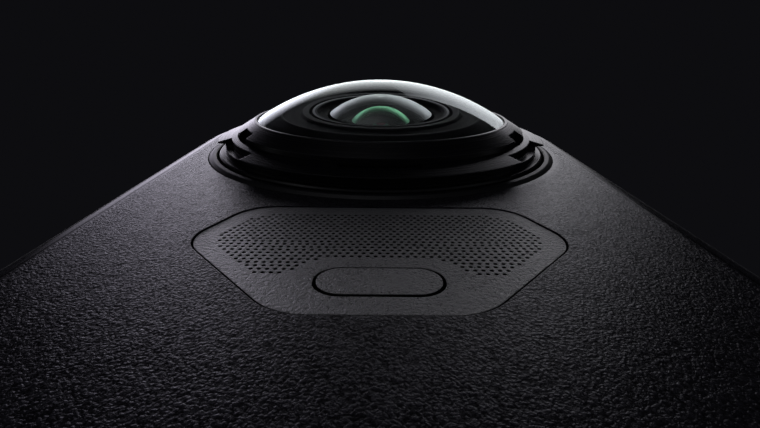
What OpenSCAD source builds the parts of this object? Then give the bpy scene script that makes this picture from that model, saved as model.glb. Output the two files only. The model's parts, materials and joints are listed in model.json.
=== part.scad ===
// Pocket 360 degree camera: a tall slim body with two fisheye lenses back to back.
// Millimetres. It stands on z = 0, the front face looks along -Y and the screen side along +Y.

/* [Body] */
// Width across the two sides
body_w = 46; // [45:0.5:52]
// Height from the base to the top
body_h = 124.5; // [123:0.5:132]
// Thickness between the front and rear faces
body_t = 23.6; // [23.2:0.2:27]
// Radius of the two top corners
top_r = 17; // [14:0.5:18]
// Radius of the two bottom corners
foot_r = 8; // [6:0.5:9]
// Radius of the rounded edge round each face
edge_r = 3.5; // [3:0.1:3.7]
// Wall of the frame round its cavity
wall = 3.4; // [3.2:0.1:3.6]
// Thickness of the front and rear covers
cover_t = 1.6; // [1.5:0.1:2]
// Distance of the cover's edge from the outline of the body
cover_inset = 2.3; // [2:0.1:2.6]
// Parting gap round a cover
cover_gap = 0.15; // [0.1:0.05:0.2]

/* [Lens] */
// Distance from the trim ring to the top of the body
lens_top = 4.5; // [4.2:0.05:6.5]
// Distance from the trim ring to the side of the body
lens_edge = 4.5; // [4.2:0.05:5]
// Height of the dome's rim over the face
rim_up = 3.4; // [3.2:0.1:4.2]
// Rise of the dome over its rim
dome_rise = 3.92; // [3.4:0.02:4.6]
// Thickness of the dome glass
dome_t = 1.1; // [0.9:0.05:1.2]
// Width of the bright lip round the glass
lip_w = 0.3; // [0.2:0.05:0.45]
// Radial width of the lens ring outside its lip
cone_w = 1.6; // [1.3:0.1:1.7]
// Height of the lens ring's cone
cone_h = 0.9; // [0.8:0.05:1.1]
// Height of the lens ring's wall over the crown
ring_wall = 0.5; // [0.4:0.05:0.7]
// Radial running gap between the lens ring and the mount ring
ring_gap = 0.15; // [0.1:0.01:0.2]
// Radial width of the mount ring's crown with its three lugs
crown_w = 2.05; // [1.9:0.05:2.2]
// Angle of each cut-out between the lugs
lug_cut = 28; // [24:1:34]
// Angle through which the lens ring turns to come off
twist = 30; // [24:1:34]
// Width of the smooth trim ring at the edge of the cover
trim_w = 0.8; // [0.6:0.05:0.9]

/* [Microphone panel] */
// Width of the panel at its widest corners
panel_w = 24.3; // [23:0.1:25.5]
// Width of its top edge before rounding
panel_top_w = 19; // [18:0.1:20.5]
// Width of its bottom edge before rounding
panel_foot_w = 10; // [9.5:0.1:11]
// Height of the panel
panel_h = 14.46; // [14:0.02:15]
// Drop from the top edge to the widest corners
panel_shoulder = 6.2; // [5.8:0.1:6.5]
// Distance from the trim ring to the top edge of the panel
panel_space = 1.65; // [1.55:0.05:2]
// Gap round the panel in its pocket
panel_gap = 0.14; // [0.1:0.02:0.2]
// Spacing of the holes in the top row
hole_pitch = 0.49; // [0.46:0.01:0.6]
// Spacing of the hole rows
hole_row = 0.418; // [0.4:0.002:0.44]
// Diameter of a hole
hole_d = 0.26; // [0.22:0.02:0.32]
// Width of the front key
key_w = 6.65; // [6:0.05:7]
// Height of the front key
key_h = 2.8; // [2.4:0.05:3]
// Gap round the front key
key_gap = 0.2; // [0.15:0.01:0.25]

/* [Screen side] */
// Width of the touch glass
screen_w = 34; // [32:0.5:36]
// Distance from the rear trim ring to the touch glass
screen_space = 5; // [4.5:0.25:9]
// Height of the lower edge of the touch glass over the base
screen_foot = 20; // [19:0.5:24]
// Width of a rear button
rear_key_w = 10.5; // [9:0.5:12]
// Height of a rear button
rear_key_h = 5; // [4:0.25:5.5]

/* [Battery and sides] */
// Distance from the lens axis down to the top of the battery pack
pack_space = 35.2; // [34.8:0.2:40]
// Room between the inner end of the battery pack and the left wall
pack_end = 6.65; // [6.2:0.05:8]
// Reach of the battery cover over the top of the pack
door_over = 3.2; // [2.7:0.1:3.7]
// Reach of the battery cover under the foot of the pack
door_under = 2.2; // [1.7:0.1:2.7]
// Width of the battery cover
door_w = 15.2; // [14.8:0.1:15.6]
// Length of a side button
side_key_l = 9; // [7:0.5:10]
// Width of a side button
side_key_w = 4.2; // [3.6:0.1:5]
// Height by which side buttons and the latch stand over the side
side_proud = 0.3; // [0.2:0.05:0.4]
// Length of the connector door
port_door_h = 18; // [17:0.5:19]
// Width of the connector door, hinge included
port_door_w = 11; // [10.4:0.1:11.2]
// Diameter of the tripod thread
thread_d = 6.35; // [6.35:0.01:6.5]
// Depth of the tripod thread
thread_l = 6.5; // [5.5:0.1:7]

/* [Fits] */
// Clearance between pieces that sit one in the other
fit = 0.1; // [0.08:0.01:0.12]
// Clearance round pieces that slide or press
slide_fit = 0.2; // [0.15:0.01:0.22]
// Radial clearance of the hinge pin
pin_fit = 0.05; // [0.03:0.01:0.08]
// Travel of the keys and buttons
press = 0.4; // [0.3:0.02:0.45]

/* [Hidden] */
$fn = 96;

face = body_t / 2;
side = body_w / 2;
bay = side - wall;

// Radii of the lens, from the trim ring inward to the glass
trim_out = side - lens_edge;
lens_z = body_h - lens_top - trim_out;
trim_r = trim_out - trim_w;
lug_r = trim_r - 0.2;
bore_r = lug_r - crown_w;
ring_r = bore_r - ring_gap;
lip_r = ring_r - cone_w;
seat_r = lip_r - lip_w;
dome_r = seat_r - 0.05;
neck_r = lug_r - 0.75;
cut_r = bore_r + 0.6;
hoop_r = lug_r - 0.05;
hole_r = trim_out + fit;
stem_r = hole_r + 0.5;
ledge_r = seat_r - 0.8;

// Heights of the lens over the face
glass_foot = rim_up - 1;
cone_low = rim_up - cone_h;
crown_top = cone_low - ring_wall;
crown_edge = crown_top - 0.5;
crown_under = crown_edge - 0.25;
hoop_top = 0.45;
seat_low = -cover_t - 1;
flange_low = seat_low - 1.1;
barrel_top = -0.7;
ring_low = barrel_top + slide_fit;
groove_low = barrel_top + 0.1;
groove_top = groove_low + 1;
chassis_t = 2;
sensor_t = 1;
barrel_low = -face + chassis_t / 2 + sensor_t;

// Optics inside the lens
baffle_r = ledge_r - slide_fit;
step_top = rim_up + 0.05;
cell_bore = 5.7;
cell_top = 1.5;
second_r = cell_bore - fit;
third_r = 3.65;
fourth_r = 1.65;
group_r = 4;
sensor_w = 13;
sensor_board_w = 24;

// Panel and front key
panel_top = lens_z - trim_out - panel_space;
panel_t = 0.84;
panel_down = 0.06;
panel_low = -panel_down - panel_t;
mesh_low = panel_low - 0.15;
key_z = panel_top - panel_h + 3.22;
slot_w = key_w + 2 * key_gap;
slot_h = key_h + 2 * key_gap;
key_rim = 0.7;
key_top = -0.02;
key_low = mesh_low - 0.1 - 0.8;
mic_board_top = key_low - press - 0.4;
mic_board_t = 0.8;
mic_board_w = 24;
mic_board_h = 13;
mic_board_z = panel_top - 7.6;
PANEL = [[-panel_top_w / 2, panel_top], [-panel_w / 2, panel_top - panel_shoulder],
  [-panel_foot_w / 2, panel_top - panel_h], [panel_foot_w / 2, panel_top - panel_h],
  [panel_w / 2, panel_top - panel_shoulder], [panel_top_w / 2, panel_top]];
PANEL_R = [3, 3.1, 3.6, 3.6, 3.1, 3];
POCKET_R = [for (r = PANEL_R) r + panel_gap];

// Screen side, from the rear face inward
glass_low = -1.1;
display_low = glass_low - 1.8;
shield_top = display_low - 0.5;
board_top = shield_top - 2;
board_t = 1.2;
board_low = board_top - board_t;
board_y = face + board_low;
screen_h = lens_z - trim_out - screen_space - screen_foot;
screen_z = screen_foot + screen_h / 2;
board_z0 = 9.5;
board_z1 = screen_foot + screen_h + 0.5;
shield_w = 24;
shield_h = 22;
shield_z = board_z1 - 7.5 - shield_h / 2;
can_w = 18;
can_h = 14;
can_z = shield_z - shield_h / 2 - 6 - can_h / 2;
rear_key_z = screen_foot - 7.4;
rear_key_x = 7.5;
rear_rim = 0.7;
rear_key_low = -cover_t - 0.05 - 0.8;

// Battery bay
spreader_t = 2;
spreader_z0 = 11.5;
spreader_z1 = mic_board_z - mic_board_h / 2 - 1.66;
tray_y0 = -(face - cover_t - spreader_t - fit);
tray_y1 = board_y;
tray_wall = 0.7;
pack_y0 = tray_y0 + tray_wall + slide_fit;
pack_y1 = tray_y1 - tray_wall - slide_fit;
pack_z0 = 13.7;
pack_z1 = lens_z - pack_space;
pack_x1 = bay - 0.15;
pack_x0 = pack_end - bay;
tray_x0 = pack_x0 - slide_fit - tray_wall;
tray_x1 = pack_x1 - slide_fit;
tray_z0 = pack_z0 - slide_fit - tray_wall;
tray_z1 = pack_z1 + slide_fit + tray_wall;
door_h = pack_z1 - pack_z0 + door_over + door_under;
door_z = pack_z0 - door_under + door_h / 2;
door_x0 = bay + 0.45;
latch_w = 6;
latch_l = 8;
latch_travel = 3;
latch_deep = 1.3;
latch_z1 = door_z + door_h / 2 - 3;
card_z = tray_z1 + fit;
card_w = 12;
card_y = board_y - card_w / 2 - fit;
contact_n = 4;
contact_w = 3.6;
contact_pitch = 2.5;
contact_z = pack_z0 + 8.3;

// Left side, where x is negative
skin = 1.8;
power_z = lens_z - 28.5;
quick_z = power_z - 14;
speaker_z = 19;
speaker_w = 10;
speaker_h = 9;
port_z = (quick_z + speaker_z) / 2 - 1;
port_y = board_y - 1.6;
port_floor = side - skin;
hinge_x = -(side - 0.9);
hinge_r = 0.8;
pin_r = 0.5;
port_y0 = port_y + 3.9 - port_door_w;
hinge_y = port_y0 + hinge_r + 0.45;
port_y1 = port_y + 3.9;
knuckle_h = port_door_h - 4;
side_rim = 0.6;
side_low = bay - 0.05;
switch_tip = side_low - press - 0.2;
insert_r = 4.6;
insert_rim = 6;
boss_r = 7.2;
insert_l = thread_l + 1.5;
boss_top = insert_l + 0.8;
chassis_z = lens_z - trim_out - 2.5;
screw_low = [bay - 3.1, chassis_z + 2.6];
screw_high = [side - 15, lens_z + sensor_board_w / 2 + 3];
SCREWS = [[-screw_low[0], screw_low[1]], screw_low, [-screw_high[0], screw_high[1]], screw_high];

// Outlines with rounded corners: convex points, counterclockwise
function unit(v) = v / norm(v);
function at(pts, i) = pts[(i + len(pts)) % len(pts)];
function half_angle(u, v) = acos(u * v) / 2;
function arc(c, r, from, sweep, n) =
  [for (i = [0:n]) c + r * [cos(from + sweep * i / n), sin(from + sweep * i / n)]];
function corner(p, u, v, h, r, n) =
  let (c = p + unit(u + v) * r / sin(h), s = p + u * r / tan(h) - c)
  arc(c, r, atan2(s[1], s[0]), 180 - 2 * h, n);
function rounded(pts, rs, n = 12) = [for (i = [0:len(pts) - 1])
  let (p = pts[i], u = unit(at(pts, i - 1) - p), v = unit(at(pts, i + 1) - p))
  each corner(p, u, v, half_angle(u, v), rs[i], n)];
function inset(pts, d) = [for (i = [0:len(pts) - 1])
  let (p = pts[i], u = unit(at(pts, i - 1) - p), v = unit(at(pts, i + 1) - p))
  p + unit(u + v) * d / sin(half_angle(u, v))];
function rect(x0, y0, x1, y1) = [[x0, y0], [x1, y0], [x1, y1], [x0, y1]];
function box(w, h, y) = rect(-w / 2, y - h / 2, w / 2, y + h / 2);
function body_points(d) = rounded(rect(d - side, d, side - d, body_h - d),
  [foot_r - d, foot_r - d, top_r - d, top_r - d], 24);

// Radius of a ball from the rim and the rise of its cap
function ball(r, rise) = (r * r + rise * rise) / (2 * rise);

// Places: a face drawing looks outward along its own z, with y up and z = 0 at the face
module on_front() { rotate([90, 0, 0]) translate([0, 0, face]) children(); }
module on_rear() { rotate([90, 0, 180]) translate([0, 0, face]) children(); }
module at_front() { on_front() translate([0, lens_z, 0]) children(); }
module at_rear() { on_rear() translate([0, lens_z, 0]) children(); }
// Side drawings: x runs along Y, y is up and z runs out of the side
module on_right() { rotate([90, 0, 90]) children(); }
module on_left() { mirror([1, 0, 0]) rotate([90, 0, 90]) children(); }

module slice(z0, z1) { translate([0, 0, z0]) linear_extrude(z1 - z0) children(); }
module rod(r, z0, z1) { translate([0, 0, z0]) cylinder(r = r, h = z1 - z0); }
module tube(r1, r0, z0, z1) {
  difference() {
    rod(r1, z0, z1);
    rod(r0, z0 - 1, z1 + 1);
  }
}
module sector(a, sweep, r0, r1, z0, z1) {
  rotate([0, 0, a - sweep / 2]) rotate_extrude(angle = sweep) translate([r0, z0]) square([r1 - r0, z1 - z0]);
}
module block(x, y, z) { translate([x[0], y[0], z[0]]) cube([x[1] - x[0], y[1] - y[0], z[1] - z[0]]); }
// A rounded bar with its middle at y
module pill(w, h, y, r) { polygon(rounded(box(w, h, y), [r, r, r, r])); }

// The rounded slab of the body, drawn in the face plane with z = 0 in its middle
module edge_half(r) {
  union() {
    translate([0, -face]) square([r - edge_r, body_t]);
    translate([r - edge_r, edge_r - face]) square([edge_r, body_t - 2 * edge_r]);
    for (s = [-1, 1]) intersection() {
      translate([r - edge_r, s * (face - edge_r)]) circle(edge_r);
      translate([r - edge_r, s > 0 ? face - edge_r : -face]) square([edge_r, edge_r]);
    }
  }
}
module slab_corner(x, y, a, r) {
  translate([x, y, 0]) rotate([0, 0, a]) rotate_extrude(angle = 90) edge_half(r);
}
module slab() {
  union() {
    block([foot_r - side, side - foot_r], [foot_r, body_h - top_r], [-face, face]);
    for (s = [0, 180]) rotate([0, s, 0])
      translate([side - foot_r, body_h - top_r, 0]) rotate([90, 0, 0])
        linear_extrude(body_h - top_r - foot_r) edge_half(foot_r);
    translate([top_r - side, body_h - top_r, 0]) rotate([90, 0, 90])
      linear_extrude(body_w - 2 * top_r) edge_half(top_r);
    translate([side - foot_r, foot_r, 0]) rotate([90, 0, -90])
      linear_extrude(body_w - 2 * foot_r) edge_half(foot_r);
    slab_corner(side - top_r, body_h - top_r, 0, top_r);
    slab_corner(top_r - side, body_h - top_r, 90, top_r);
    slab_corner(foot_r - side, foot_r, 180, foot_r);
    slab_corner(side - foot_r, foot_r, 270, foot_r);
  }
}
module upright() { rotate([90, 0, 0]) children(); }

// Frame, covers and trim
module main_frame() {
  color([0.09, 0.09, 0.10]) difference() {
    union() {
      difference() {
        upright() slab();
        upright() slice(-face - 1, face + 1) polygon(body_points(wall));
        for (s = [0, 1]) rotate([0, 0, 180 * s]) on_front()
          slice(-cover_t, 1) polygon(body_points(cover_inset - cover_gap));
      }
      rod(boss_r, wall - 0.5, boss_top);
      for (p = SCREWS) chassis_boss(p);
    }
    rod(insert_rim + fit, -1, 1 + fit);
    rod(insert_r + fit, -1, insert_l + fit);
    for (p = SCREWS) upright() translate([p[0], p[1], 0]) rod(0.75, -6, 0);
    battery_opening();
    port_opening();
    for (z = [power_z, quick_z]) side_key_hole(z);
    for (i = [-2:2]) on_left()
      slice(bay - 1, side + 1) translate([2 * i, 0]) pill(1, speaker_h - 2, speaker_z, 0.45);
  }
}
module chassis_boss(p) {
  reach = p[1] > lens_z ? [[-2, 2], [0, 5.5]] : [[0, bay - abs(p[0]) + 0.5], [-2, 2]];
  upright() translate([p[0], p[1], 0]) {
    rod(2.2, -5.5, -chassis_t / 2);
    mirror([p[0] < 0 ? 1 : 0, 0, 0]) block(reach[0], reach[1], [-5.5, -chassis_t / 2]);
  }
}
module battery_opening() {
  w = door_w + 2 * slide_fit;
  h = door_h + 2 * slide_fit;
  on_right() slice(bay - 1, side + 1) pill(w, h, door_z, 3 + slide_fit);
}
module port_opening() {
  on_left() {
    slice(port_floor, side + 1) polygon(rounded(rect(port_y0, port_z - port_door_h / 2,
      port_y1, port_z + port_door_h / 2), [0.6, 1.5, 1.5, 0.6]));
    slice(bay - 1, side) translate([port_y, 0]) polygon(rounded(box(4, 10, port_z), [1.9, 1.9, 1.9, 1.9]));
  }
}
module side_key_hole(z) {
  r = side_key_w / 2 - 0.05;
  on_left() {
    slice(bay - 1, side + 1) pill(side_key_w + 2 * slide_fit, side_key_l + 2 * slide_fit, z, r + slide_fit);
    slice(bay - 1, bay + 1)
      pill(side_key_w + 2 * (side_rim + 0.3), side_key_l + 2 * (side_rim + 0.3), z, r + 0.9);
  }
}
module cover_blank() {
  intersection() {
    translate([0, 0, -face]) slab();
    slice(-cover_t, 1) polygon(body_points(cover_inset));
  }
}
module front_cover() {
  color([0.06, 0.06, 0.07]) on_front() {
    difference() {
      cover_blank();
      translate([0, lens_z, 0]) rod(hole_r, -cover_t - 1, 1);
      slice(panel_low, 1) polygon(rounded(inset(PANEL, -panel_gap), POCKET_R));
      slice(-cover_t - 1, 0) polygon(rounded(inset(PANEL, 1), PANEL_R * 0.6));
    }
    for (s = [-1, 1]) translate([s * (mic_board_w / 2 - 1.6), mic_board_z - mic_board_h / 2 + 1.5, 0])
      rod(1.1, mic_board_top, -cover_t);
  }
}
module rear_cover() {
  color([0.07, 0.07, 0.08]) on_rear() difference() {
    cover_blank();
    translate([0, lens_z, 0]) rod(hole_r, -cover_t - 1, 1);
    slice(glass_low, 1) pill(screen_w + 2 * fit, screen_h + 2 * fit, screen_z, 4 + fit);
    slice(-cover_t - 1, 0) pill(screen_w - 2, screen_h - 2, screen_z, 3);
    for (s = [-1, 1]) slice(-cover_t - 1, 1) translate([s * rear_key_x, 0])
      pill(rear_key_w + 2 * slide_fit, rear_key_h + 2 * slide_fit, rear_key_z, rear_key_h / 2 + 0.1);
  }
}
module trim_ring() {
  rotate_extrude() polygon([[trim_r, -cover_t], [trim_out, -cover_t], [trim_out, 0.02],
    [trim_out - 0.35, 0.24], [trim_r + 0.1, 0.28], [trim_r, 0.2]]);
}
module front_trim_ring() { color([0.10, 0.10, 0.11]) at_front() trim_ring(); }
module rear_trim_ring() { color([0.10, 0.10, 0.11]) at_rear() trim_ring(); }
module heat_spreader() {
  color([0.55, 0.56, 0.58]) on_front()
    slice(-cover_t - spreader_t, -cover_t) polygon(rounded(rect(2.5 - bay, spreader_z0,
      bay - 2.5, spreader_z1), [4, 4, 4, 4]));
}
module tripod_insert() {
  color([0.72, 0.71, 0.68]) difference() {
    union() {
      rod(insert_rim, 0, 1);
      rod(insert_r, 0, insert_l);
    }
    rod(thread_d / 2, -1, thread_l);
  }
}

// Microphone panel and front key
rows = floor((panel_h - 5.5) / hole_row);
row_drop = 1.57;
// Holes sit closer from row to row, and open up again at the 13th, 15th and 20th row
function row_pitch(n) = hole_pitch * (n < 12 ? 1 - 0.0066 * n : n < 14 ? 0.957 - 0.0143 * (n - 12)
  : n < 19 ? 0.977 - 0.0131 * (n - 14) : 0.946 - 0.0105 * (n - 19));
// Half the panel's width, and the reach of the holes, at a drop from the top edge
function half_at(drop) = drop < panel_shoulder
  ? panel_top_w / 2 + (panel_w - panel_top_w) / 2 * drop / panel_shoulder
  : panel_w / 2 - (panel_w - panel_foot_w) / 2 * (drop - panel_shoulder) / (panel_h - panel_shoulder);
function reach(drop) = min(half_at(drop) - 1.45, panel_w / 2 - 1.17 - 0.148 * drop,
  panel_top_w / 2 - 1.7 + 1.6 * (drop - row_drop));
// The holes keep clear of the front key
key_drop = panel_top - key_z - slot_h / 2 - 1.05;
function clear_x(drop) = drop < key_drop ? 0 : slot_w / 2 - 0.17 + 1.05 * (drop - key_drop);
HOLES = [for (n = [0:rows]) for (k = [0:24]) for (s = [-1, 1])
  let (x = row_pitch(n) * (k + (n % 2 == 0 ? 0.5 : 0)), drop = row_drop + hole_row * n)
  if (x <= reach(drop) && x >= clear_x(drop) && (x > 0 || s > 0)) [s * x, panel_top - drop]];
module mic_panel() {
  color([0.13, 0.13, 0.14]) on_front() difference() {
    slice(panel_low, -panel_down) polygon(rounded(PANEL, PANEL_R));
    slice(panel_low - 1, 1) pill(slot_w, slot_h, key_z, slot_h / 2 - 0.1);
    for (p = HOLES) translate([p[0], p[1], 0]) rod(hole_d / 2, panel_low - 0.2, 0.2);
  }
}
module mic_mesh() {
  color([0.02, 0.02, 0.02]) on_front() difference() {
    slice(mesh_low, panel_low) polygon(rounded(inset(PANEL, 1.1), PANEL_R * 0.55));
    slice(mesh_low - 1, 1) pill(slot_w + 0.3, slot_h + 0.3, key_z, slot_h / 2);
  }
}
module mic_board() {
  color([0.05, 0.16, 0.10]) on_front()
    slice(mic_board_top - mic_board_t, mic_board_top) pill(mic_board_w, mic_board_h, mic_board_z, 1.5);
}
module microphones() {
  color([0.75, 0.72, 0.62]) on_front() for (s = [-1, 1])
    slice(mic_board_top, mic_board_top + 1) translate([s * 6.6, 0]) pill(3.5, 2.7, mic_board_z + 3, 0.3);
}
module front_key() {
  r = key_h / 2 - 0.05;
  color([0.12, 0.12, 0.13]) on_front() {
    slice(key_low, key_top) pill(key_w, key_h, key_z, r);
    slice(key_low, key_low + 0.8) pill(key_w + 2 * key_rim, key_h + 2 * key_rim, key_z, r + key_rim);
  }
}
module front_key_switch() {
  color([0.80, 0.78, 0.72]) on_front() translate([0, key_z, 0]) rod(1.6, mic_board_top, mic_board_top + 0.3);
}

// Lens, drawn about its own axis with z = 0 at the face
module mount_ring() {
  difference() {
    rotate_extrude() polygon([[bore_r, seat_low], [stem_r, seat_low], [stem_r, -cover_t],
      [hoop_r, -cover_t], [hoop_r, hoop_top - 0.15], [hoop_r - 0.15, hoop_top], [neck_r, hoop_top],
      [neck_r, crown_under], [lug_r, crown_under + 0.1], [lug_r, crown_edge], [bore_r, crown_top]]);
    for (a = [90, 210, 330]) sector(a, lug_cut, cut_r, lug_r + 1, crown_under - 0.25, crown_top + 1);
    tube(bore_r + 0.6, bore_r - 1, groove_low, groove_top);
    for (a = [30, 150, 270]) sector(a, 26, bore_r - 1, bore_r + 0.52, groove_top - 0.5, crown_top + 1);
    for (a = [90, 210, 330]) rotate([0, 0, a]) translate([stem_r - 1.7, 0, 0])
      rod(0.7, seat_low - 1, seat_low + 0.7);
  }
}
module lens_ring() {
  difference() {
    union() {
      rotate_extrude() polygon([[ledge_r, ring_low], [ring_r, ring_low], [ring_r, cone_low],
        [lip_r, rim_up + 0.06], [lip_r - 0.05, rim_up + 0.12], [seat_r, rim_up + 0.12],
        [seat_r, glass_foot], [ledge_r, glass_foot]]);
      for (a = [0, 120, 240])
        sector(a - twist + 30, 22, ring_r - 0.3, bore_r + 0.4, groove_low + 0.2, groove_top - 0.2);
    }
    for (a = [26, 154, 206, 334])
      sector(a, 12, ring_r - 0.8, ring_r + 1, crown_top - 0.6, rim_up);
  }
}
// A cap of a ball from its rim radius, the height of its rim and its rise
module cap_lens(r, base, rise) {
  intersection() {
    translate([0, 0, base + rise - ball(r, rise)]) sphere(ball(r, rise));
    rod(r + 1, base, base + rise + 1);
  }
}
module dome_glass() {
  hollow = ledge_r - 0.3;
  hollow_up = glass_foot + 0.38;
  difference() {
    union() {
      rod(dome_r, glass_foot, rim_up);
      cap_lens(dome_r - 0.03, rim_up, dome_rise);
    }
    rod(hollow, glass_foot - 1, hollow_up + 0.01);
    cap_lens(hollow - 0.03, hollow_up, dome_rise + rim_up - dome_t - hollow_up);
  }
}
module lens_seal() {
  rotate_extrude() translate([(ledge_r + bore_r) / 2 - 0.2, barrel_top - 0.4]) circle(0.42);
}
module baffle() {
  floor_r = 8.6;
  lip = floor_r + (baffle_r - floor_r) * 0.52;
  rotate_extrude() polygon([[cell_bore, barrel_top], [baffle_r, barrel_top], [baffle_r, glass_foot - 0.3],
    [lip, rim_up - 0.02], [lip - 0.12, rim_up - 0.02], [lip - 0.2, rim_up - 0.3], [floor_r, rim_up - 0.2],
    [8.3, step_top], [7.65, step_top], [7.55, step_top - 0.4], [7.35, step_top - 0.4], [7.28, step_top],
    [6.8, step_top], [6.6, step_top - 0.35], [cell_bore + 0.1, rim_up - 0.4], [cell_bore, rim_up - 0.5]]);
}
module barrel() {
  seal_r = (ledge_r + bore_r) / 2 - 0.2;
  difference() {
    union() {
      rod(11.2, barrel_low, flange_low);
      rod(stem_r, flange_low, seat_low);
      rod(bore_r - 0.25, seat_low, barrel_top);
    }
    rod(group_r, barrel_low - 1, barrel_top + 1);
    slice(barrel_low - 1, barrel_low + 1.2) polygon(box(sensor_w + 0.4, sensor_w + 0.4, 0));
    tube(seal_r + 0.55, seal_r - 0.55, barrel_top - 0.85, barrel_top + 1);
    for (a = [90, 210, 330]) rotate([0, 0, a]) translate([stem_r - 1.7, 0, 0])
      rod(0.7, flange_low - 1, seat_low + 1);
  }
}
module second_element() {
  difference() {
    union() {
      rod(second_r, cell_top, rim_up - 0.32);
      cap_lens(second_r - 0.16, rim_up - 0.32, 1.92);
    }
    rod(4.8, cell_top - 1, rim_up - 0.4);
    cap_lens(4.7, rim_up - 0.4, 1.4);
  }
}
module third_element() {
  difference() {
    union() {
      rod(third_r, 1, 2.3);
      cap_lens(3.13, 2.3, 1.5);
    }
    rod(2.4, 0, 1.9);
    cap_lens(2.3, 1.9, 1.3);
  }
}
module fourth_element() {
  rod(fourth_r, 0.2, 1.3);
  cap_lens(1.4, 1.3, 0.75);
}
module lens_cell() {
  difference() {
    union() {
      rod(cell_bore - fit / 2, barrel_top, cell_top);
      rod(third_r + 0.65, barrel_top, 2.1);
    }
    rod(third_r + fit / 2, 1, 3);
    rod(fourth_r + fit / 2, 0.2, 3);
    rod(1, barrel_top - 1, 3);
  }
}
module rear_group() { rod(group_r - fit / 2, barrel_top - 4, barrel_top - 1.5); }
module barrel_screw() {
  rod(0.6, flange_low - 0.3, seat_low + 0.6);
  rod(1.1, flange_low - 0.8, flange_low);
}
module image_sensor() { slice(barrel_low, barrel_low + 1) polygon(box(sensor_w, sensor_w, 0)); }
module sensor_board() {
  slice(barrel_low - sensor_t, barrel_low) pill(sensor_board_w, sensor_board_w, 0, 1);
}

module front_mount_ring() { color([0.07, 0.07, 0.08]) at_front() mount_ring(); }
module rear_mount_ring() { color([0.07, 0.07, 0.08]) at_rear() mount_ring(); }
module front_lens_ring() { color([0.08, 0.08, 0.09]) at_front() lens_ring(); }
module rear_lens_ring() { color([0.08, 0.08, 0.09]) at_rear() lens_ring(); }
module front_dome_glass() { color([0.75, 0.85, 0.80, 0.4]) at_front() dome_glass(); }
module rear_dome_glass() { color([0.75, 0.85, 0.80, 0.4]) at_rear() dome_glass(); }
module lens_seals() {
  color([0.04, 0.04, 0.04]) {
    at_front() lens_seal();
    at_rear() lens_seal();
  }
}
module front_baffle() { color([0.05, 0.05, 0.05]) at_front() baffle(); }
module rear_baffle() { color([0.05, 0.05, 0.05]) at_rear() baffle(); }
module front_barrel() { color([0.10, 0.10, 0.11]) at_front() barrel(); }
module rear_barrel() { color([0.10, 0.10, 0.11]) at_rear() barrel(); }
module front_second_element() { color([0.60, 0.65, 0.70, 0.5]) at_front() second_element(); }
module rear_second_element() { color([0.60, 0.65, 0.70, 0.5]) at_rear() second_element(); }
module front_third_element() { color([0.35, 0.70, 0.45, 0.6]) at_front() third_element(); }
module rear_third_element() { color([0.35, 0.70, 0.45, 0.6]) at_rear() third_element(); }
module front_fourth_element() { color([0.75, 0.45, 0.50, 0.7]) at_front() fourth_element(); }
module rear_fourth_element() { color([0.75, 0.45, 0.50, 0.7]) at_rear() fourth_element(); }
module front_lens_cell() { color([0.05, 0.05, 0.05]) at_front() lens_cell(); }
module rear_lens_cell() { color([0.05, 0.05, 0.05]) at_rear() lens_cell(); }
module rear_groups() {
  color([0.70, 0.75, 0.80, 0.5]) {
    at_front() rear_group();
    at_rear() rear_group();
  }
}
module image_sensors() {
  color([0.30, 0.28, 0.36]) {
    at_front() image_sensor();
    at_rear() image_sensor();
  }
}
module sensor_boards() {
  color([0.05, 0.18, 0.12]) {
    at_front() sensor_board();
    at_rear() sensor_board();
  }
}
module barrel_screws() {
  color([0.70, 0.70, 0.72]) for (a = [90, 210, 330]) {
    at_front() rotate([0, 0, a]) translate([stem_r - 1.7, 0, 0]) barrel_screw();
    at_rear() rotate([0, 0, a]) translate([stem_r - 1.7, 0, 0]) barrel_screw();
  }
}
module lens_chassis() {
  color([0.62, 0.63, 0.65]) upright() difference() {
    slice(-chassis_t / 2, chassis_t / 2) intersection() {
      polygon(body_points(wall + fit));
      translate([-side, chassis_z]) square([body_w, body_h]);
    }
    for (p = SCREWS) translate([p[0], p[1], 0]) rod(0.75, -face, face);
  }
}
module chassis_screws() {
  color([0.70, 0.70, 0.72]) upright() for (p = SCREWS) translate([p[0], p[1], 0]) {
    rod(0.68, -5, chassis_t / 2 + 0.2);
    rod(1.4, chassis_t / 2, chassis_t / 2 + 0.9);
  }
}
module sensor_flexes() {
  e = 0.25;
  top = lens_z - sensor_board_w / 2;
  y0 = chassis_t / 2 + 0.4;
  z0 = board_z1 + 0.5;
  z1 = board_z1 - 4;
  y1 = board_y + board_t;
  color([0.72, 0.50, 0.22]) {
    translate([-10, 0, 0]) rotate([90, 0, 90]) linear_extrude(8)
      polygon([[-y0 - e, top], [-y0 - e, z0], [board_y - e, z0], [board_y - e, z1], [board_y, z1],
        [board_y, z0 + e], [-y0, z0 + e], [-y0, top]]);
    translate([2, 0, 0]) rotate([90, 0, 90]) linear_extrude(8)
      polygon([[y0, top], [y0, z0], [y1, z0], [y1, z1], [y1 + e, z1], [y1 + e, z0 + e],
        [y0 + e, z0 + e], [y0 + e, top]]);
  }
}

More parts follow.
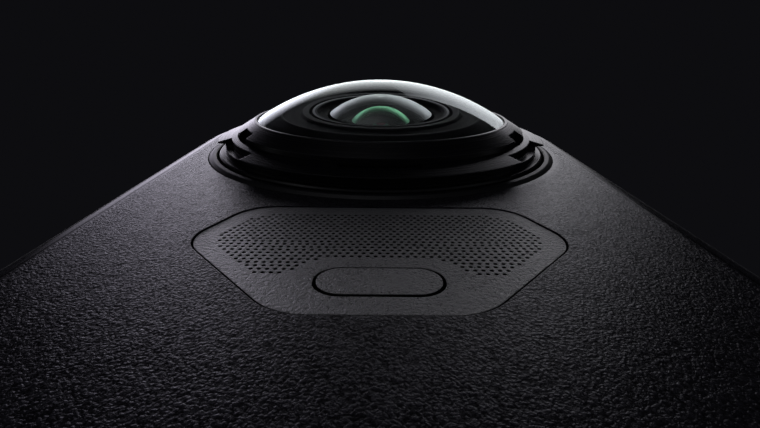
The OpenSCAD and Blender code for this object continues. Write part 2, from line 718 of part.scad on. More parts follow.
// Screen side
module touch_glass() {
  color([0.03, 0.03, 0.04]) on_rear() slice(glass_low, -0.08) pill(screen_w, screen_h, screen_z, 4);
}
module display_panel() {
  color([0.10, 0.12, 0.16]) on_rear()
    slice(display_low, glass_low) pill(screen_w - 2.4, screen_h - 2.4, screen_z, 2.6);
}
module rear_button(s) {
  r = rear_key_h / 2 - 0.05;
  on_rear() translate([s * rear_key_x, 0, 0]) {
    slice(rear_key_low, 0.3) pill(rear_key_w, rear_key_h, rear_key_z, r);
    slice(rear_key_low, rear_key_low + 0.8)
      pill(rear_key_w + 2 * rear_rim, rear_key_h + 2 * rear_rim, rear_key_z, r + rear_rim);
  }
}
module shutter_button() { color([0.14, 0.14, 0.15]) rear_button(-1); }
module lens_button() { color([0.14, 0.14, 0.15]) rear_button(1); }
module rear_switches() {
  color([0.80, 0.78, 0.72]) on_rear() for (s = [-1, 1])
    translate([s * rear_key_x, rear_key_z, 0]) rod(2, board_top, rear_key_low - press - 0.1);
}
module main_board() {
  color([0.05, 0.20, 0.13]) on_rear() {
    slice(board_low, board_top) polygon(rounded(rect(1 - bay, board_z0, bay - 1, board_z1), [2, 2, 2, 2]));
    slice(board_top, shield_top) pill(shield_w, shield_h, shield_z, 0.6);
    slice(board_top, shield_top) translate([-4, 0]) pill(can_w, can_h, can_z, 0.6);
  }
}

// Left side: buttons, connector door, speaker
module side_button(z) {
  r = side_key_w / 2 - 0.05;
  on_left() {
    slice(side_low, side + side_proud) pill(side_key_w, side_key_l, z, r);
    slice(side_low, side_low + 0.8)
      pill(side_key_w + 2 * side_rim, side_key_l + 2 * side_rim, z, r + side_rim);
  }
}
module power_button() { color([0.14, 0.14, 0.15]) side_button(power_z); }
module quick_button() { color([0.14, 0.14, 0.15]) side_button(quick_z); }
module side_switch_board() {
  back = -tray_x0;
  color([0.06, 0.16, 0.12]) on_left() {
    slice(back, back + 1) pill(7, power_z - quick_z + side_key_l + 2, (power_z + quick_z) / 2, 1);
    for (z = [power_z, quick_z]) translate([0, z, 0]) {
      slice(back + 1, back + 3) pill(4, 4, 0, 0.4);
      rod(1.2, back + 3, switch_tip);
    }
  }
}
module port_door() {
  z0 = port_z - knuckle_h / 2;
  color([0.10, 0.10, 0.11]) difference() {
    union() {
      on_left() slice(port_floor + 0.1, side - 0.02)
        polygon(rounded(rect(hinge_y + hinge_r + 0.2, port_z - port_door_h / 2 + slide_fit,
          port_y1 - slide_fit, port_z + port_door_h / 2 - slide_fit), [0.3, 1.3, 1.3, 0.3]));
      block([-side + 0.3, 0.2 - port_floor - 0.4], [hinge_y, hinge_y + hinge_r + 0.5], [z0, z0 + knuckle_h]);
      translate([hinge_x, hinge_y, 0]) rod(hinge_r, z0, z0 + knuckle_h);
    }
    translate([hinge_x, hinge_y, 0]) rod(pin_r + pin_fit, z0 - 1, z0 + knuckle_h + 1);
  }
}
module port_plug() {
  color([0.05, 0.05, 0.05]) on_left() slice(port_floor - 0.9, port_floor + 0.1)
    translate([port_y, 0]) polygon(rounded(box(3.2, 9.2, port_z), [1.5, 1.5, 1.5, 1.5]));
}
module port_pin() {
  z0 = port_z - port_door_h / 2;
  color([0.75, 0.75, 0.77]) translate([hinge_x, hinge_y, 0]) rod(pin_r, z0, z0 + port_door_h);
}
module port_connector() {
  x0 = -tray_x0 + 0.3;
  color([0.74, 0.74, 0.76]) on_left() translate([port_y, 0, 0]) {
    difference() {
      slice(x0, port_floor - 1.1) polygon(rounded(box(3.2, 9, port_z), [1.5, 1.5, 1.5, 1.5]));
      slice(x0 + 0.6, side) polygon(rounded(box(2.6, 8.4, port_z), [1.2, 1.2, 1.2, 1.2]));
    }
    slice(x0, port_floor - 1.6) polygon(box(0.7, 6.7, port_z));
  }
}
module speaker() {
  color([0.20, 0.20, 0.21]) on_left() slice(bay - 3, bay - fit) pill(speaker_w, speaker_h, speaker_z, 1);
}

// Battery bay on the right side
module battery_pack() {
  color([0.11, 0.11, 0.12]) on_right() slice(pack_x0, pack_x1)
    polygon(rounded(rect(pack_y0, pack_z0, pack_y1, pack_z1), [1.5, 1.5, 1.5, 1.5]));
}
module battery_seal() {
  color([0.05, 0.05, 0.05]) on_right() slice(pack_x1, door_x0) difference() {
    pill(door_w - 1, door_h - 1, door_z, 2.5);
    pill(door_w - 5, door_h - 8, door_z - 2.6, 1.5);
  }
}
module battery_cover() {
  color([0.10, 0.10, 0.11]) on_right() difference() {
    slice(door_x0, side - 0.02) pill(door_w, door_h, door_z, 3);
    slice(side - latch_deep, side + 1)
      polygon(rounded(rect(-latch_w / 2 - slide_fit, latch_z1 - latch_l - latch_travel - 2 * slide_fit,
        latch_w / 2 + slide_fit, latch_z1), [1, 1, 1, 1]));
  }
}
module battery_latch() {
  low = latch_z1 - latch_l - slide_fit;
  color([0.55, 0.18, 0.08]) on_right() {
    slice(side - latch_deep + 0.05, side - 0.1)
      polygon(rounded(rect(-latch_w / 2, low, latch_w / 2, low + latch_l), [0.8, 0.8, 0.8, 0.8]));
    for (i = [0:3]) slice(side - 0.1, side + side_proud)
      pill(latch_w - 1.4, 0.7, low + 1.6 + 1.6 * i, 0.3);
  }
}
module battery_tray() {
  color([0.16, 0.16, 0.17]) on_right() difference() {
    slice(tray_x0, tray_x1) polygon(rect(tray_y0, tray_z0, tray_y1, tray_z1));
    slice(tray_x0 + tray_wall, tray_x1 + 1)
      polygon(rect(tray_y0 + tray_wall, tray_z0 + tray_wall, tray_y1 - tray_wall, tray_z1 - tray_wall));
    for (i = [1:contact_n]) translate([0, contact_z + contact_pitch * (i - 1), 0])
      rod(0.6, tray_x0 - 1, tray_x0 + 2);
  }
}
module battery_contacts() {
  color([0.80, 0.65, 0.25]) on_right() {
    slice(tray_x0 - 1.5, tray_x0)
      pill(contact_w, (contact_n + 0.8) * contact_pitch,
        contact_z + (contact_n - 1) * contact_pitch / 2, 0.5);
    for (i = [1:contact_n]) translate([0, contact_z + contact_pitch * (i - 1), 0])
      rod(0.5, tray_x0 - 0.2, tray_x0 + tray_wall + 0.05);
  }
}
module card_slot() {
  color([0.72, 0.72, 0.74]) on_right() difference() {
    slice(bay - 16, bay - 0.5) polygon(rect(card_y - card_w / 2, card_z, card_y + card_w / 2, card_z + 1.5));
    slice(bay - 15.4, bay) polygon(rect(card_y - card_w / 2 + 0.4, card_z + 0.25,
      card_y + card_w / 2 - 0.4, card_z + 1.25));
  }
}

main_frame();
front_cover();
rear_cover();
front_trim_ring();
rear_trim_ring();
heat_spreader();
tripod_insert();
mic_panel();
mic_mesh();
mic_board();
microphones();
front_key();
front_key_switch();
front_mount_ring();
rear_mount_ring();
front_lens_ring();
rear_lens_ring();
front_dome_glass();
rear_dome_glass();
lens_seals();
front_baffle();
rear_baffle();
front_barrel();
rear_barrel();
front_second_element();
rear_second_element();
front_third_element();
rear_third_element();
front_fourth_element();
rear_fourth_element();
front_lens_cell();
rear_lens_cell();
rear_groups();
image_sensors();
sensor_boards();
barrel_screws();
lens_chassis();
chassis_screws();
sensor_flexes();
touch_glass();
display_panel();
shutter_button();
lens_button();
rear_switches();
main_board();
power_button();
quick_button();
side_switch_board();
port_door();
port_plug();
port_pin();
port_connector();
speaker();
battery_pack();
battery_cover();
battery_latch();
battery_seal();
battery_tray();
battery_contacts();
card_slot();
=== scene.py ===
import json
import math

import bpy
from mathutils import Matrix, Vector

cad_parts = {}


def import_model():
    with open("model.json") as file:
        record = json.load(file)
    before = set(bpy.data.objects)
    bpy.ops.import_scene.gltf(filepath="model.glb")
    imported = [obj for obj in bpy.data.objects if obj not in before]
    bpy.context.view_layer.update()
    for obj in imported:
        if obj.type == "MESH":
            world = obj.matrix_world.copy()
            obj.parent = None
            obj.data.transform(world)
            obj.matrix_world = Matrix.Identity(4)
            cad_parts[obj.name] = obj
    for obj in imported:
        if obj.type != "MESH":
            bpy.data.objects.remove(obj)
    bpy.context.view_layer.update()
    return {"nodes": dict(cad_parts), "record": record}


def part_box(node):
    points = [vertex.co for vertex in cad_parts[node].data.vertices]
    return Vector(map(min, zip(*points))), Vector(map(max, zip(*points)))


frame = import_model()
nodes = frame["nodes"]

MM = 0.001

# Places that the materials use, in millimetres: the lens axis, and the faces' distance from the body's middle
LENS_Z = 101.5
FACE = 11.8

# The front cover's outline: half sizes, middle and corner radii; its smooth hem and the groove inside it
COVER_HALF_W, COVER_HALF_H, COVER_MID_Z = 20.7, 59.95, 62.25
COVER_TOP_R, COVER_FOOT_R = 14.7, 5.7
HEM, GROOVE, GROOVE_HALF_W = (0.85, 1.1), 0.80, 0.09

# The leather's grain ends between these distances from the lens axis
GRAIN_END = (18.3, 19.6)

# The dome: its ball's centre behind the face, a radius between its two skins, its foot and its painted rim
DOME_DEPTH, DOME_SKIN_R = 17.27, 24.3
DOME_FOOT, DOME_RIM_R, DOME_RIM = 2.79, 13.28, 3.42

# The baffle: its ring tops and lip over the face, the lip's radius, and the bright line on a ring top
RING_TOP, LIP_TOP, LIP_R = 3.43, 3.3, 10.4
LINE_R, LINE_HALF_W = 7.16, 0.14

# The last inner lens has a painted rose highlight in its middle, of this radius
GLINT_R = 0.55

# Radius of the fine edges that catch light
EDGE_R = 0.12


# Material nodes

def add(nt, kind, inputs=None, **props):
    """One shader node; an input is a value or another node's output."""
    n = nt.nodes.new("ShaderNode" + kind)
    for key, value in props.items():
        setattr(n, key, value)
    for key, value in (inputs or {}).items():
        if isinstance(value, bpy.types.NodeSocket):
            nt.links.new(value, n.inputs[key])
        else:
            n.inputs[key].default_value = value
    return n


def math_of(nt, op, a, b=0.0, c=0.0):
    return add(nt, "Math", {0: a, 1: b, 2: c}, operation=op).outputs[0]


def spread(nt, value, lo, hi, to_lo=0.0, to_hi=1.0, smooth=True):
    """A value mapped from one range to another, clamped."""
    n = add(nt, "MapRange", {"Value": value, "From Min": lo, "From Max": hi,
                             "To Min": to_lo, "To Max": to_hi})
    n.interpolation_type = "SMOOTHSTEP" if smooth else "LINEAR"
    return n.outputs[0]


def blend_colour(nt, factor, a, b):
    n = add(nt, "Mix", data_type="RGBA")
    nt.links.new(factor, n.inputs[0])
    n.inputs[6].default_value = (*a, 1)
    n.inputs[7].default_value = (*b, 1)
    return n.outputs[2]


def bare(name):
    """A material with no nodes yet."""
    m = bpy.data.materials.new(name)
    m.use_nodes = True
    m.node_tree.nodes.clear()
    return m, m.node_tree


def surface(name, **sockets):
    """A material with one principled shader; the keyword arguments are constant socket values."""
    m, nt = bare(name)
    shader = add(nt, "BsdfPrincipled", {key.replace("_", " "): value for key, value in sockets.items()})
    add(nt, "OutputMaterial", {"Surface": shader.outputs[0]})
    return m, nt, shader


def feed(nt, shader, **sockets):
    """Links values to the shader's sockets."""
    for key, value in sockets.items():
        nt.links.new(value, shader.inputs[key.replace("_", " ")])


def millimetres(nt):
    """Object coordinates in millimetres."""
    where = add(nt, "TexCoord").outputs["Object"]
    return add(nt, "VectorMath", {0: where, "Scale": 1000.0}, operation="SCALE").outputs[0]


def noise(nt, where, scale, detail=2.0, rough=0.5):
    n = add(nt, "TexNoise", {"Vector": where, "Scale": scale, "Detail": detail, "Roughness": rough})
    return n.outputs["Fac"]


def bumped(nt, shader, height, depth_mm, strength=1.0):
    """Fine relief over edges that look slightly rounded."""
    edge = add(nt, "Bevel", {"Radius": EDGE_R * MM}, samples=4).outputs[0]
    n = add(nt, "Bump", {"Height": height, "Distance": depth_mm * MM, "Strength": strength, "Normal": edge})
    feed(nt, shader, Normal=n.outputs[0])


def moulded(name, dark, light, rough, grain, depth, spec=0.5, wear=0.06, face=0.0):
    """Moulded or blasted black: fine grain in bump, and slow changes of colour and gloss; given a face depth,
    painted shade on the walls below it.
    """
    m, nt, shader = surface(name, Specular_IOR_Level=spec)
    where = millimetres(nt)
    fine = noise(nt, where, grain, 3.0, 0.6)
    slow = noise(nt, where, 0.12, 2.0)
    tone = math_of(nt, "ADD", math_of(nt, "MULTIPLY", fine, 0.5), math_of(nt, "MULTIPLY", slow, 0.5))
    colour = blend_colour(nt, spread(nt, tone, 0.35, 0.65), dark, light)
    if face:
        # Painted shade: the walls of holes and gaps under the front face are painted near black and lose
        # their gloss.
        _, out = from_axis(nt, where)
        hole_shade = spread(nt, out, face - 0.035, face - 0.01, 1.0, 0.0)
        mix = add(nt, "Mix", {0: hole_shade, 6: colour, 7: (0.0005, 0.0005, 0.0006, 1)}, data_type="RGBA")
        colour = mix.outputs[2]
        feed(nt, shader, Specular_IOR_Level=spread(nt, hole_shade, 0.0, 1.0, spec, 0.0))
    feed(nt, shader, Base_Color=colour, Roughness=spread(nt, tone, 0.3, 0.7, rough - wear, rough + wear))
    bumped(nt, shader, fine, depth)
    return m


def from_axis(nt, where):
    """Distance from the lens axis, and along it from the middle of the body, in millimetres."""
    part = add(nt, "SeparateXYZ", {0: where})
    up = math_of(nt, "SUBTRACT", part.outputs[2], LENS_Z)
    squares = math_of(nt, "ADD", math_of(nt, "MULTIPLY", part.outputs[0], part.outputs[0]),
                      math_of(nt, "MULTIPLY", up, up))
    return math_of(nt, "SQRT", squares), math_of(nt, "ABSOLUTE", part.outputs[1])


def outline(nt, where):
    """Distance inward from the edge of the front cover, in millimetres."""
    part = add(nt, "SeparateXYZ", {0: where})
    upper = math_of(nt, "GREATER_THAN", part.outputs[2], COVER_MID_Z)
    radius = math_of(nt, "MULTIPLY_ADD", upper, COVER_TOP_R - COVER_FOOT_R, COVER_FOOT_R)
    x = math_of(nt, "ABSOLUTE", part.outputs[0])
    x = math_of(nt, "ADD", math_of(nt, "SUBTRACT", x, COVER_HALF_W), radius)
    z = math_of(nt, "ABSOLUTE", math_of(nt, "SUBTRACT", part.outputs[2], COVER_MID_Z))
    z = math_of(nt, "ADD", math_of(nt, "SUBTRACT", z, COVER_HALF_H), radius)
    squares = math_of(nt, "ADD", math_of(nt, "POWER", math_of(nt, "MAXIMUM", x, 0.0), 2.0),
                      math_of(nt, "POWER", math_of(nt, "MAXIMUM", z, 0.0), 2.0))
    over = math_of(nt, "SQRT", squares)
    under = math_of(nt, "MINIMUM", math_of(nt, "MAXIMUM", x, z), 0.0)
    return math_of(nt, "SUBTRACT", radius, math_of(nt, "ADD", over, under))


def leather():
    """Fine pressed leather: soft uneven pebbles with creases between them, and a plain hem round the edge."""
    m, nt, shader = surface("cover_grain", Specular_Tint=(0.74, 0.71, 1.0, 1))
    where = millimetres(nt)
    drift = add(nt, "TexNoise", {"Vector": where, "Scale": 4.2, "Detail": 2.0}).outputs["Color"]
    shift = add(nt, "VectorMath", {0: drift, 1: (0.5, 0.5, 0.5)}, operation="SUBTRACT").outputs[0]
    moved = add(nt, "VectorMath", {0: shift, 1: (0.32, 0.32, 0.32), 2: where},
                operation="MULTIPLY_ADD").outputs[0]
    cells = add(nt, "TexVoronoi", {"Vector": moved, "Scale": 5.2, "Smoothness": 0.3, "Randomness": 1.0},
                feature="SMOOTH_F1").outputs["Distance"]
    pebble = spread(nt, cells, 0.15, 0.75, 1.0, 0.0)
    small = noise(nt, moved, 8.5, 3.0, 0.6)
    folds = noise(nt, where, 1.3, 2.0)
    height = math_of(nt, "MULTIPLY_ADD", pebble, 0.55, math_of(nt, "MULTIPLY", small, 0.8))
    height = math_of(nt, "MULTIPLY_ADD", folds, 0.6, height)
    # The grain dies out towards the collar of the lens and in the hem.
    away, out = from_axis(nt, where)
    inside = outline(nt, where)
    grained = math_of(nt, "MULTIPLY", spread(nt, away, *GRAIN_END), spread(nt, inside, *HEM))
    level = add(nt, "Mix", {0: grained, 2: 0.95, 3: height}).outputs[0]
    groove = math_of(nt, "COMPARE", inside, GROOVE, GROOVE_HALF_W)
    level = math_of(nt, "MULTIPLY_ADD", groove, -1.2, level)
    # Painted shade: the colour follows the relief, darker in the creases and the groove and lighter on the
    # pebble tops.
    colour = blend_colour(nt, spread(nt, level, 0.5, 1.3), (0.0024, 0.0023, 0.0029), (0.0056, 0.0054, 0.0067))
    # Painted shade: the wall of the panel's recess in the cover loses its shine.
    pocket_shade = math_of(nt, "MULTIPLY", math_of(nt, "LESS_THAN", out, FACE - 0.03),
                     math_of(nt, "GREATER_THAN", inside, 2.5))
    shine = spread(nt, level, 0.5, 1.15, 0.02, 0.13)
    shine = math_of(nt, "MULTIPLY", shine, math_of(nt, "SUBTRACT", 1.0, pocket_shade))
    feed(nt, shader, Base_Color=colour, Roughness=spread(nt, small, 0.3, 0.7, 0.24, 0.34),
         Specular_IOR_Level=shine)
    bumped(nt, shader, level, 0.032)
    return m


def satin(name, base, rough, metal=0.0, spec=0.5):
    """Anodised or turned metal: very fine lathe lines round the lens axis."""
    m, nt, shader = surface(name, Metallic=metal, Specular_IOR_Level=spec)
    where = millimetres(nt)
    away, out = from_axis(nt, where)
    turned = add(nt, "CombineXYZ", {0: away, 1: out}).outputs[0]
    lines = noise(nt, turned, 9.0, 2.0)
    dust = noise(nt, where, 3.0, 3.0, 0.6)
    colour = blend_colour(nt, spread(nt, dust, 0.35, 0.65), tuple(c * 0.85 for c in base),
                          tuple(c * 1.15 for c in base))
    feed(nt, shader, Base_Color=colour, Roughness=spread(nt, lines, 0.3, 0.7, rough - 0.03, rough + 0.03))
    bumped(nt, shader, math_of(nt, "ADD", lines, math_of(nt, "MULTIPLY", dust, 0.4)), 0.0012, 0.6)
    return m


def optic(name, tint, body, ior=1.5, rough=0.0, bend=0.0):
    """Coated glass: its outer faces mirror with the coating's tint, and the rest lets light through."""
    m, nt = bare(name)
    where = millimetres(nt)
    film = noise(nt, where, 0.35, 3.0, 0.6)
    outside = math_of(nt, "SUBTRACT", 1.0, add(nt, "NewGeometry").outputs["Backfacing"])
    clear = add(nt, "BsdfTransparent", {0: (*body, 1)}).outputs[0]
    mirror = add(nt, "BsdfGlossy", {"Color": (*tint, 1)})
    feed(nt, mirror, Roughness=spread(nt, film, 0.35, 0.75, rough, rough * 1.15 + 0.01))
    # The coating takes most of the reflection away where the glass is seen straight on.
    share = spread(nt, add(nt, "Fresnel", {"IOR": ior}).outputs[0], 0.028, 1.0, 0.003, 1.0, smooth=False)
    glass = clear
    if bend:
        # Only the outer ball of the dome bends and mirrors; its rim and foot are painted.
        away, up = from_axis(nt, where)
        ball = math_of(nt, "SQRT", math_of(nt, "ADD", math_of(nt, "MULTIPLY", away, away),
                       math_of(nt, "POWER", math_of(nt, "ADD", up, DOME_DEPTH - FACE), 2.0)))
        outside = math_of(nt, "MULTIPLY", outside, math_of(nt, "GREATER_THAN", ball, DOME_SKIN_R))
        bent = add(nt, "BsdfRefraction", {"Color": (*body, 1), "IOR": bend}).outputs[0]
        glass = add(nt, "MixShader", {0: outside, 1: clear, 2: bent}).outputs[0]
    share = math_of(nt, "MULTIPLY", share, outside)
    glass = add(nt, "MixShader", {0: share, 1: glass, 2: mirror.outputs[0]}).outputs[0]
    if bend:
        foot = math_of(nt, "LESS_THAN", up, FACE + DOME_FOOT)
        rim = math_of(nt, "MULTIPLY", math_of(nt, "GREATER_THAN", away, DOME_RIM_R),
                      math_of(nt, "LESS_THAN", up, FACE + DOME_RIM))
        painted = math_of(nt, "MAXIMUM", foot, rim)
        paint = add(nt, "BsdfPrincipled", {"Base Color": (0.004, 0.004, 0.005, 1), "Roughness": 0.4})
        glass = add(nt, "MixShader", {0: painted, 1: glass, 2: paint.outputs[0]}).outputs[0]
    add(nt, "OutputMaterial", {"Surface": glass})
    return m


def coated(name, edge, shares, low, glint_colour=None):
    """An inner lens: its coating shows on the cap towards the outline; the last one has a painted rose
    highlight in its middle.
    """
    m, nt = bare(name)
    where = millimetres(nt)
    away, up = from_axis(nt, where)
    film = noise(nt, where, 0.8, 3.0, 0.6)
    ring = spread(nt, add(nt, "LayerWeight", {"Blend": 0.5}).outputs["Facing"], *shares)
    outside = math_of(nt, "SUBTRACT", 1.0, add(nt, "NewGeometry").outputs["Backfacing"])
    cap = math_of(nt, "MULTIPLY", math_of(nt, "GREATER_THAN", up, FACE + low), outside)
    mirror = add(nt, "BsdfGlossy", {"Color": (*edge, 1)})
    feed(nt, mirror, Roughness=spread(nt, film, 0.35, 0.75, 0.36, 0.40))
    clear = add(nt, "BsdfTransparent", {0: (0.92, 0.95, 0.93, 1)}).outputs[0]
    share = math_of(nt, "MULTIPLY", ring, cap)
    glass = add(nt, "MixShader", {0: share, 1: clear, 2: mirror.outputs[0]}).outputs[0]
    if glint_colour:
        # Painted highlight: a rose diffuse spot in the middle of the cap stands for a lamp's glint.
        middle = math_of(nt, "MULTIPLY", math_of(nt, "LESS_THAN", away, GLINT_R), cap)
        rose = add(nt, "BsdfDiffuse", {"Color": (*glint_colour, 1)}).outputs[0]
        glass = add(nt, "MixShader", {0: middle, 1: glass, 2: rose}).outputs[0]
    add(nt, "OutputMaterial", {"Surface": glass})
    return m


def baffle():
    """Optical black, paler on the tops of its two rings and on the thin lip outside them, with painted shade
    dimming them towards the bottom of the camera.
    """
    m, nt, shader = surface("baffle_black", Specular_IOR_Level=0.03)
    where = millimetres(nt)
    away, up = from_axis(nt, where)
    turned = noise(nt, add(nt, "CombineXYZ", {0: away, 1: up}).outputs[0], 12.0, 2.0)
    top = math_of(nt, "GREATER_THAN", up, FACE + RING_TOP)
    lip = math_of(nt, "MULTIPLY", math_of(nt, "GREATER_THAN", away, LIP_R),
                  math_of(nt, "GREATER_THAN", up, FACE + LIP_TOP))
    line = math_of(nt, "MULTIPLY", top, math_of(nt, "COMPARE", away, LINE_R, LINE_HALF_W))
    tone = math_of(nt, "ADD", math_of(nt, "MULTIPLY_ADD", top, 0.18, math_of(nt, "MULTIPLY", lip, 0.3)),
                   math_of(nt, "MULTIPLY", line, 0.8))
    # Painted light and shade: the pale ring tops fade towards the bottom of the camera, lit on the upper side
    # and shaded on the lower.
    high = math_of(nt, "SUBTRACT", add(nt, "SeparateXYZ", {0: where}).outputs[2], LENS_Z)
    tone = math_of(nt, "MULTIPLY", tone, spread(nt, high, -6.0, 3.0, 0.12, 1.0))
    feed(nt, shader, Base_Color=blend_colour(nt, tone, (0.0015, 0.0015, 0.002), (0.24, 0.24, 0.25)),
         Roughness=spread(nt, turned, 0.3, 0.7, 0.6, 0.7))
    bumped(nt, shader, turned, 0.006, 0.6)
    return m


def glossy_black(name, base, rough):
    """Polished dark glass with a faint film."""
    m, nt, shader = surface(name, IOR=1.5, Coat_Weight=0.6, Coat_Roughness=0.02)
    where = millimetres(nt)
    film = noise(nt, where, 0.22, 3.0, 0.6)
    feed(nt, shader, Base_Color=blend_colour(nt, film, base, tuple(c * 1.6 for c in base)),
         Roughness=spread(nt, film, 0.35, 0.7, rough, rough + 0.06))
    return m


def metal(name, base, rough, grain=4.0, stretch=(1, 1, 1)):
    """Bare metal, brushed where its grain is stretched."""
    m, nt, shader = surface(name, Metallic=1.0)
    where = add(nt, "VectorMath", {0: millimetres(nt), 1: stretch}, operation="MULTIPLY").outputs[0]
    lines = noise(nt, where, grain, 3.0, 0.6)
    feed(nt, shader, Base_Color=blend_colour(nt, lines, tuple(c * 0.8 for c in base), base),
         Roughness=spread(nt, lines, 0.3, 0.7, rough - 0.07, rough + 0.08))
    bumped(nt, shader, lines, 0.006, 0.5)
    return m


def board(name):
    """Solder mask with copper tracks under it and small pads."""
    m, nt, shader = surface(name, Specular_IOR_Level=0.5)
    where = millimetres(nt)
    tracks = add(nt, "TexBrick", {"Vector": where, "Scale": 1.0, "Mortar Size": 0.06, "Brick Width": 1.7,
                                  "Row Height": 0.6, "Color1": (0, 0, 0, 1), "Color2": (0.2, 0.2, 0.2, 1),
                                  "Mortar": (1, 1, 1, 1)})
    grey = add(nt, "RGBToBW", {0: tracks.outputs["Color"]}).outputs[0]
    feed(nt, shader, Base_Color=blend_colour(nt, grey, (0.006, 0.045, 0.026), (0.03, 0.13, 0.07)),
         Roughness=spread(nt, noise(nt, where, 2.0), 0.3, 0.7, 0.28, 0.42))
    bumped(nt, shader, grey, 0.03)
    return m


def woven(name):
    """Black mesh: two sets of threads that cross."""
    m, nt, shader = surface(name, Specular_IOR_Level=0.05)
    threads = {"Vector": millimetres(nt), "Scale": 3.1, "Distortion": 0.4}
    cloth = math_of(nt, "MULTIPLY", *(add(nt, "TexWave", threads, bands_direction=way).outputs["Fac"]
                                      for way in "XZ"))
    feed(nt, shader, Base_Color=blend_colour(nt, cloth, (0.0008, 0.0008, 0.0008), (0.004, 0.004, 0.0045)),
         Roughness=spread(nt, cloth, 0.0, 1.0, 0.75, 0.6))
    bumped(nt, shader, cloth, 0.03)
    return m


def sensor(name):
    """An image sensor's sheen, between violet and blue."""
    m, nt, shader = surface(name, Metallic=0.3, Coat_Weight=1.0)
    fan = noise(nt, millimetres(nt), 0.5, 1.0)
    colour = blend_colour(nt, spread(nt, fan, 0.3, 0.7), (0.05, 0.03, 0.10), (0.03, 0.08, 0.10))
    feed(nt, shader, Base_Color=colour, Roughness=spread(nt, fan, 0.3, 0.7, 0.1, 0.2))
    return m


slots = {
    "frame_black": moulded("frame_black", (0.009, 0.009, 0.0105), (0.014, 0.014, 0.016), 0.42, 5.0, 0.014),
    "cover_grain": leather(),
    "rear_black": moulded("rear_black", (0.011, 0.011, 0.0125), (0.017, 0.017, 0.0195), 0.46, 3.5, 0.02),
    # The panel's hole and gap walls get painted shade below its front face.
    "panel_black": moulded("panel_black", (0.010, 0.010, 0.012), (0.018, 0.018, 0.021), 0.31, 5.5, 0.20, 0.8,
                           face=-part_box("mic_panel")[0][1] / MM),
    "ring_black": satin("ring_black", (0.0012, 0.0012, 0.0016), 0.27, spec=0.07),
    "baffle_black": baffle(),
    "dome_glass": optic("dome_glass", (0.93, 1.0, 0.97), (0.97, 0.985, 0.98), 1.5, bend=1.05),
    "element_glass": optic("element_glass", (0.96, 1.0, 0.99), (0.95, 0.97, 0.96), 1.45, 0.3),
    "screen_glass": glossy_black("screen_glass", (0.003, 0.003, 0.004), 0.06),
    "key_black": moulded("key_black", (0.024, 0.024, 0.027), (0.036, 0.036, 0.040), 0.38, 6.0, 0.008),
    "rubber_black": moulded("rubber_black", (0.010, 0.010, 0.010), (0.018, 0.018, 0.018), 0.62, 4.0, 0.012,
                            0.35),
    "mesh_black": woven("mesh_black"),
    "chassis_metal": metal("chassis_metal", (0.60, 0.61, 0.63), 0.36, 3.0, (1, 1, 0.1)),
    "steel": metal("steel", (0.56, 0.56, 0.57), 0.30, 4.0, (0.15, 1, 1)),
    "board_green": board("board_green"),
    "flex_amber": moulded("flex_amber", (0.40, 0.20, 0.05), (0.52, 0.29, 0.08), 0.35, 1.5, 0.01),
    "pack_grey": moulded("pack_grey", (0.026, 0.026, 0.029), (0.040, 0.040, 0.044), 0.42, 3.5, 0.016),
    "latch_orange": moulded("latch_orange", (0.46, 0.09, 0.02), (0.58, 0.13, 0.035), 0.40, 4.0, 0.012),
    "gold_contact": metal("gold_contact", (0.83, 0.60, 0.24), 0.22, 4.0),
    "sensor_glass": sensor("sensor_glass"),
}
for part in frame["record"]["subparts"]:
    o = nodes[part["node"]]
    o.data.materials.clear()
    o.data.materials.append(slots[part["material_slot"]])
# The front key gets painted shade on its walls below its front face, as the panel does.
nodes["front_key"].data.materials[0] = moulded("front_key_black", (0.012, 0.012, 0.014),
                                               (0.021, 0.021, 0.024), 0.31, 5.5, 0.20, 0.9,
                                               face=-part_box("front_key")[0][1] / MM)
collar = satin("collar_black", (0.0020, 0.0020, 0.0025), 0.36, spec=0.07)
coatings = {
    "second": coated("grey_coating", (0.90, 0.94, 0.93), (0.12, 0.95, 0.01, 0.50), 3.1),
    "third": coated("green_coating", (0.36, 0.78, 0.50), (0.38, 0.62, 0.0, 1.0), 2.32),
    "fourth": coated("rose_glint_coating", (0.34, 0.66, 0.46), (0.15, 0.70, 0.05, 0.80), 1.32, (0.60, 0.13, 0.18)),
}
for side in ("front", "rear"):
    nodes[f"{side}_trim_ring"].data.materials[0] = collar
    for which, coating in coatings.items():
        nodes[f"{side}_{which}_element"].data.materials[0] = coating


# Stage, light and camera

def floor():
    mesh = bpy.data.meshes.new("floor")
    s = 0.7
    mesh.from_pydata([(-s, -s, 0), (s, -s, 0), (s, s, 0), (-s, s, 0)], [], [(0, 1, 2, 3)])
    o = bpy.data.objects.new("floor", mesh)
    bpy.context.scene.collection.objects.link(o)
    m, nt, shader = surface("floor_pale", Specular_IOR_Level=0.2)
    tone = noise(nt, millimetres(nt), 0.02, 2.0)
    feed(nt, shader, Base_Color=blend_colour(nt, tone, (0.62, 0.62, 0.63), (0.66, 0.66, 0.67)),
         Roughness=spread(nt, tone, 0.3, 0.7, 0.6, 0.7))
    mesh.materials.append(m)


def world():
    """A plain studio: pale walls, and a dark ceiling over the softbox."""
    w = bpy.data.worlds.new("studio")
    bpy.context.scene.world = w
    w.use_nodes = True
    nt = w.node_tree
    nt.nodes.clear()
    way = add(nt, "TexCoord").outputs["Generated"]
    height = add(nt, "SeparateXYZ", {0: way}).outputs[2]
    tone = blend_colour(nt, spread(nt, height, 0.0, 0.22), (0.50, 0.51, 0.53), (0.004, 0.004, 0.005))
    lit = add(nt, "Background", {"Color": tone, "Strength": 1.0})
    add(nt, "OutputWorld", {"Surface": lit.outputs[0]})


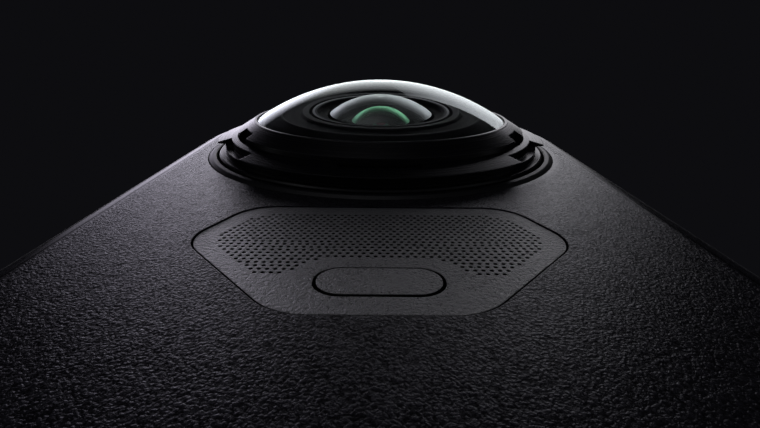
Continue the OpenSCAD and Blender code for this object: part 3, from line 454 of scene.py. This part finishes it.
def lamp(name, place, target, size, power, cone=180, across=(1, 0, 0), colour=(0.96, 0.95, 1.0)):
    """A softbox that the camera doesn't see, its width along `across`; a small cone makes its edge fade."""
    data = bpy.data.lights.new(name, "AREA")
    data.shape = "RECTANGLE"
    data.size, data.size_y = size
    data.energy = power
    data.color = colour
    data.spread = math.radians(cone)
    o = bpy.data.objects.new(name, data)
    bpy.context.scene.collection.objects.link(o)
    z = (Vector(place) - Vector(target)).normalized()
    y = z.cross(Vector(across)).normalized()
    o.matrix_world = Matrix.Translation(place) @ Matrix((y.cross(z), y, z)).transposed().to_4x4()
    o.visible_camera = o.visible_transmission = False


floor()
world()
lamp("overhead", (-0.03, -0.02, 0.64), (-0.03, -0.02, 0.0), (1.2, 1.2), 1.05, cone=60)
lamp("right_box", (0.1645, -0.206, 0.706), (-0.1588, 0.0116, 0.2224), (0.33, 0.30), 0.066, cone=60,
     across=(0.768, 0.588, -0.253), colour=(0.93, 0.92, 1.0))
lamp("left_soft", (-0.2225, -0.054, 0.6015), (0, -0.02, 0.10), (0.5, 0.5), 0.09, cone=36,
     colour=(0.87, 0.82, 1.0))
lamp("front_low", (-0.22, -0.72, 0.06), (0, 0, 0.08), (0.60, 0.20), 0.70)
lamp("back", (0.40, 0.60, 0.35), (0, 0, 0.06), (0.5, 0.4), 1.6)

camera = bpy.data.objects.new("camera", bpy.data.cameras.new("camera"))
bpy.context.scene.collection.objects.link(camera)
ahead, up = Vector((0, 0.3527, 0.9357)), Vector((0, -0.9357, 0.3527))
right = ahead.cross(up)
roll = math.radians(0.5)
right, up = right * math.cos(roll) + up * math.sin(roll), up * math.cos(roll) - right * math.sin(roll)
place = Matrix((right, up, -ahead)).transposed().to_4x4()
place.translation = Vector((0, -23.92, 47.8)) * MM
camera.matrix_world = place
camera.data.lens = 22.7
camera.data.sensor_width = 36
camera.data.sensor_fit = "HORIZONTAL"
camera.data.clip_start = 0.001
camera.data.clip_end = 20
bpy.context.scene.camera = camera
bpy.context.scene.view_settings.view_transform = "Standard"
